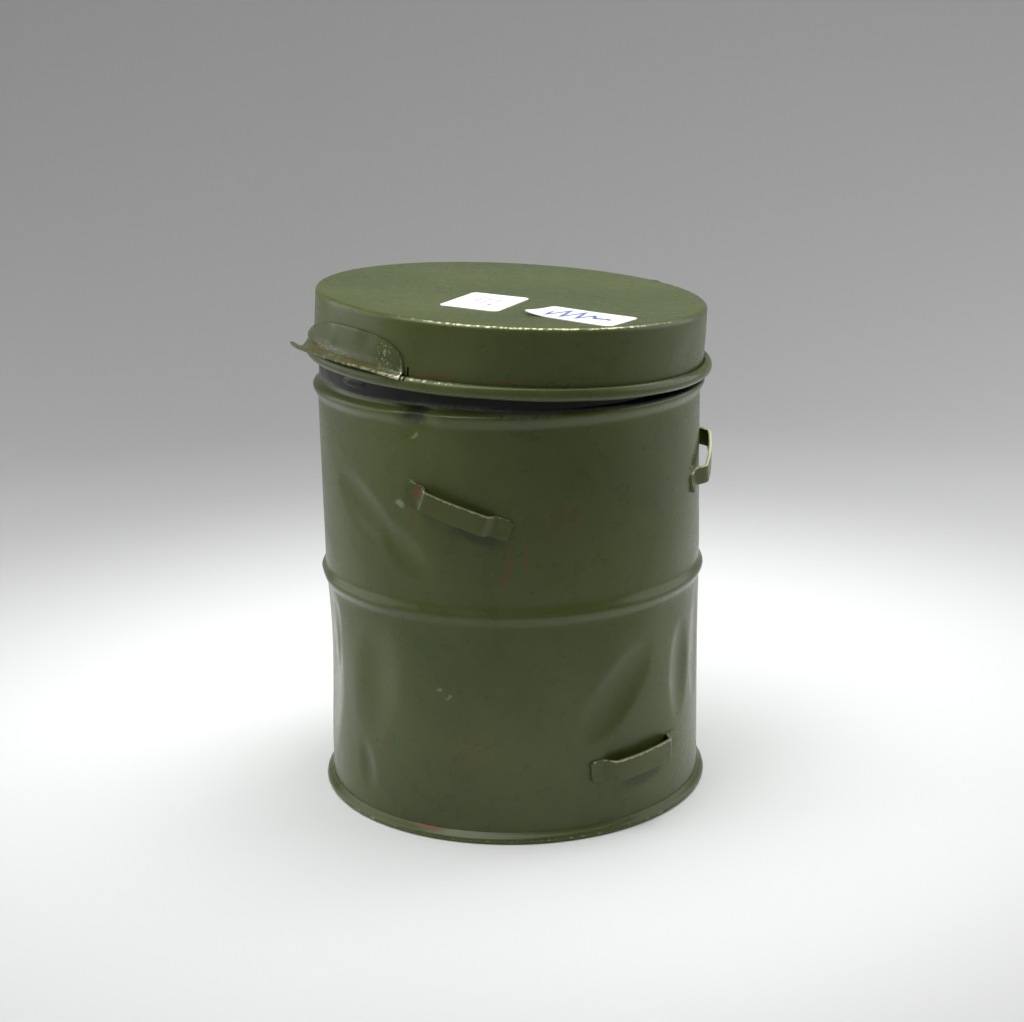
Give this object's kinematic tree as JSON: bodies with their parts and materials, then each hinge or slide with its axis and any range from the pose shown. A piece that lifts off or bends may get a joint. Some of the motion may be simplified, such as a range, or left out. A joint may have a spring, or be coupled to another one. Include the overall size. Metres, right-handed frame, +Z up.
{
  "type": "slip-lid canister",
  "caption": "Small round sheet-steel canister with two pressed beads, a folded base rim, three strap loops and a slip lid that rests crooked on its black-banded neck.",
  "frame": {"origin": "centre of the base rim, on the surface the canister stands on", "axes": "+Z up along the body's axis; -Y through the lower strap loop, the front; -X towards the lid's tab"},
  "size_m": [0.1349, 0.1327, 0.1691],
  "materials": {
    "base_pan": "semi-gloss olive-drab enamel",
    "body_shell": "semi-gloss olive-drab enamel, scuffed, primer showing",
    "seal_band": "smooth black",
    "neck_lug": "smooth black",
    "strap_loop_upper_left": "olive-drab enamel, bare bright edges",
    "strap_loop_upper_right": "olive-drab enamel, bare bright edges",
    "strap_loop_lower": "olive-drab enamel, bare bright edges",
    "lid_skirt": "olive-drab enamel, worn bright and rusty at the edge",
    "lid_top": "olive-drab enamel, worn bright at the rim",
    "lid_rim_wire": "plain drawn wire",
    "lid_tab": "olive-drab enamel, rust speckled",
    "label_plain": "white paper label",
    "label_marked": "white paper label with a pen scribble"
  },
  "bodies": {
    "canister": {"base_pan": "base_pan", "body_shell": "body_shell", "seal_band": "seal_band", "neck_lug": "neck_lug", "strap_loop_upper_left": "strap_loop_upper_left", "strap_loop_upper_right": "strap_loop_upper_right", "strap_loop_lower": "strap_loop_lower"},
    "lid_ring": {"lid_rim_wire": "lid_rim_wire"},
    "lid": {"lid_skirt": "lid_skirt", "lid_top": "lid_top", "lid_tab": "lid_tab", "label_plain": "label_plain", "label_marked": "label_marked"}
  },
  "joints": [
    {"name": "lid_lift", "type": "slide", "parent": "canister", "child": "lid_ring", "axis": [0, 0, 1], "range_m": [0, 0.05]},
    {"name": "lid_turn", "type": "hinge", "parent": "lid_ring", "child": "lid", "pos_m": [0, 0, 0.144], "axis": [0.0457, -0.0451, 0.9979], "continuous": true}
  ]
}
